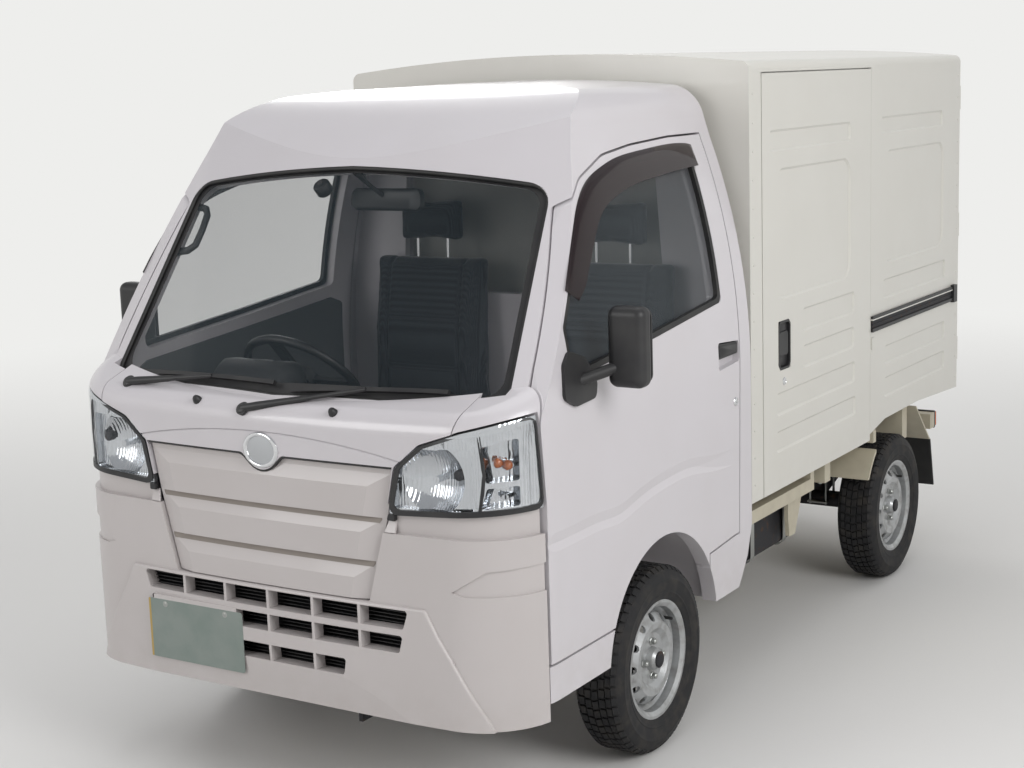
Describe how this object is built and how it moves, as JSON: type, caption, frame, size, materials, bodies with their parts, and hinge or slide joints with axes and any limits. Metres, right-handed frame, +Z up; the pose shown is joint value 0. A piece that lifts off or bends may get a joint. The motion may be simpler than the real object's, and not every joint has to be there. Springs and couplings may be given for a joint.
{
  "type": "kei truck with steel panel-van box",
  "caption": "Small cab-over light truck with a hollow steel panel-van box, side sliding doors, double rear doors, opening cab doors, steered front wheels and freely turning wheels.",
  "frame": {"origin": "on the ground, midway between the outermost points in length and width", "axes": "+Z up, the truck faces -Y, +X is its left side"},
  "size_m": [1.762, 3.395, 1.9297],
  "materials": {
    "cab_white": "gloss enamel",
    "bumper_white": "painted moulding",
    "box_cream": "gloss enamel",
    "chassis_cream": "satin enamel",
    "dark_steel": "rough",
    "cast_alloy": "cast",
    "wheel_silver": "silver enamel",
    "tyre_rubber": "matte",
    "black_rubber": "matte",
    "black_plastic": "grained",
    "dash_plastic": "grained",
    "seat_fabric": "woven",
    "window_glass": "polished",
    "lamp_lens": "polished",
    "reflector": "metallised",
    "tail_red": "moulded",
    "exhaust_steel": "dull"
  },
  "bodies": {
    "chassis": {"frame": "chassis_cream", "tow_eyes": "dark_steel", "engine_block": "cast_alloy", "front_suspension": "dark_steel", "rear_axle": "dark_steel", "propshaft": "dark_steel", "exhaust": "exhaust_steel", "fuel_tank": "dark_steel", "cab_shell": "cab_white", "cab_floor": "cab_white", "front_bumper": "bumper_white", "front_garnish": "bumper_white", "front_panel": "cab_white", "headlamp_left": "reflector", "headlamp_right": "reflector", "headlamp_lens_left": "lamp_lens", "headlamp_lens_right": "lamp_lens", "windscreen": "window_glass", "rear_window": "window_glass", "seats": "seat_fabric", "dashboard": "dash_plastic", "wipers": "black_plastic", "box_body": "box_cream", "box_floor": "chassis_cream", "slide_door_left": "box_cream", "slide_door_right": "box_cream", "slide_rails": "black_plastic", "wheel_aprons": "chassis_cream", "mud_flaps": "black_rubber", "rear_guard": "chassis_cream", "tail_lamps": "tail_red"},
    "left_knuckle": {"knuckle_left": "dark_steel"},
    "right_knuckle": {"knuckle_right": "dark_steel"},
    "front_left_wheel": {"rim_front_left": "wheel_silver", "tyre_front_left": "tyre_rubber"},
    "front_right_wheel": {"rim_front_right": "wheel_silver", "tyre_front_right": "tyre_rubber"},
    "rear_left_wheel": {"rim_rear_left": "wheel_silver", "tyre_rear_left": "tyre_rubber"},
    "rear_right_wheel": {"rim_rear_right": "wheel_silver", "tyre_rear_right": "tyre_rubber"},
    "steering_wheel": {"steering_wheel": "black_plastic"},
    "left_cab_door": {"cab_door_left": "cab_white", "door_glass_left": "window_glass", "mirror_left": "black_plastic"},
    "right_cab_door": {"cab_door_right": "cab_white", "door_glass_right": "window_glass", "mirror_right": "black_plastic"},
    "left_rear_door": {"rear_door_left": "box_cream"},
    "right_rear_door": {"rear_door_right": "box_cream"}
  },
  "joints": [
    {"name": "steer_left", "type": "hinge", "parent": "chassis", "child": "left_knuckle", "pos_m": [0.59043, -0.8955, 0.264], "axis": [-0.2031, 0, 0.9792], "range_deg": [-33, 33]},
    {"name": "steer_right", "type": "hinge", "parent": "chassis", "child": "right_knuckle", "pos_m": [-0.59043, -0.8955, 0.264], "axis": [0.2031, 0, 0.9792], "range_deg": [-33, 33]},
    {"name": "steering_wheel_turn", "type": "hinge", "parent": "chassis", "child": "steering_wheel", "pos_m": [-0.33, -1.0975, 1.022], "axis": [0, 0.7341, 0.679], "range_deg": [-495, 495]},
    {"name": "front_left_spin", "type": "hinge", "parent": "left_knuckle", "child": "front_left_wheel", "pos_m": [0.6525, -0.8955, 0.264], "axis": [1, 0, 0], "continuous": true},
    {"name": "front_right_spin", "type": "hinge", "parent": "right_knuckle", "child": "front_right_wheel", "pos_m": [-0.6525, -0.8955, 0.264], "axis": [1, 0, 0], "continuous": true},
    {"name": "rear_left_spin", "type": "hinge", "parent": "chassis", "child": "rear_left_wheel", "pos_m": [0.65, 1.0045, 0.264], "axis": [1, 0, 0], "continuous": true},
    {"name": "rear_right_spin", "type": "hinge", "parent": "chassis", "child": "rear_right_wheel", "pos_m": [-0.65, 1.0045, 0.264], "axis": [1, 0, 0], "continuous": true},
    {"name": "cab_door_left_swing", "type": "hinge", "parent": "chassis", "child": "left_cab_door", "pos_m": [0.735, -1.5015, 1.1], "axis": [0, 0, -1], "range_deg": [0, 65]},
    {"name": "cab_door_right_swing", "type": "hinge", "parent": "chassis", "child": "right_cab_door", "pos_m": [-0.735, -1.5015, 1.1], "axis": [0, 0, 1], "range_deg": [0, 65]},
    {"name": "rear_door_left_swing", "type": "hinge", "parent": "chassis", "child": "left_rear_door", "pos_m": [0.712, 1.6915, 1.24], "axis": [0, 0, -1], "range_deg": [0, 180]},
    {"name": "rear_door_right_swing", "type": "hinge", "parent": "chassis", "child": "right_rear_door", "pos_m": [-0.712, 1.6915, 1.24], "axis": [0, 0, 1], "range_deg": [0, 180]}
  ],
  "couplings": [
    {"joint": "steer_right", "follows": "steer_left", "ratio": 1},
    {"joint": "steering_wheel_turn", "follows": "steer_left", "ratio": 15}
  ]
}
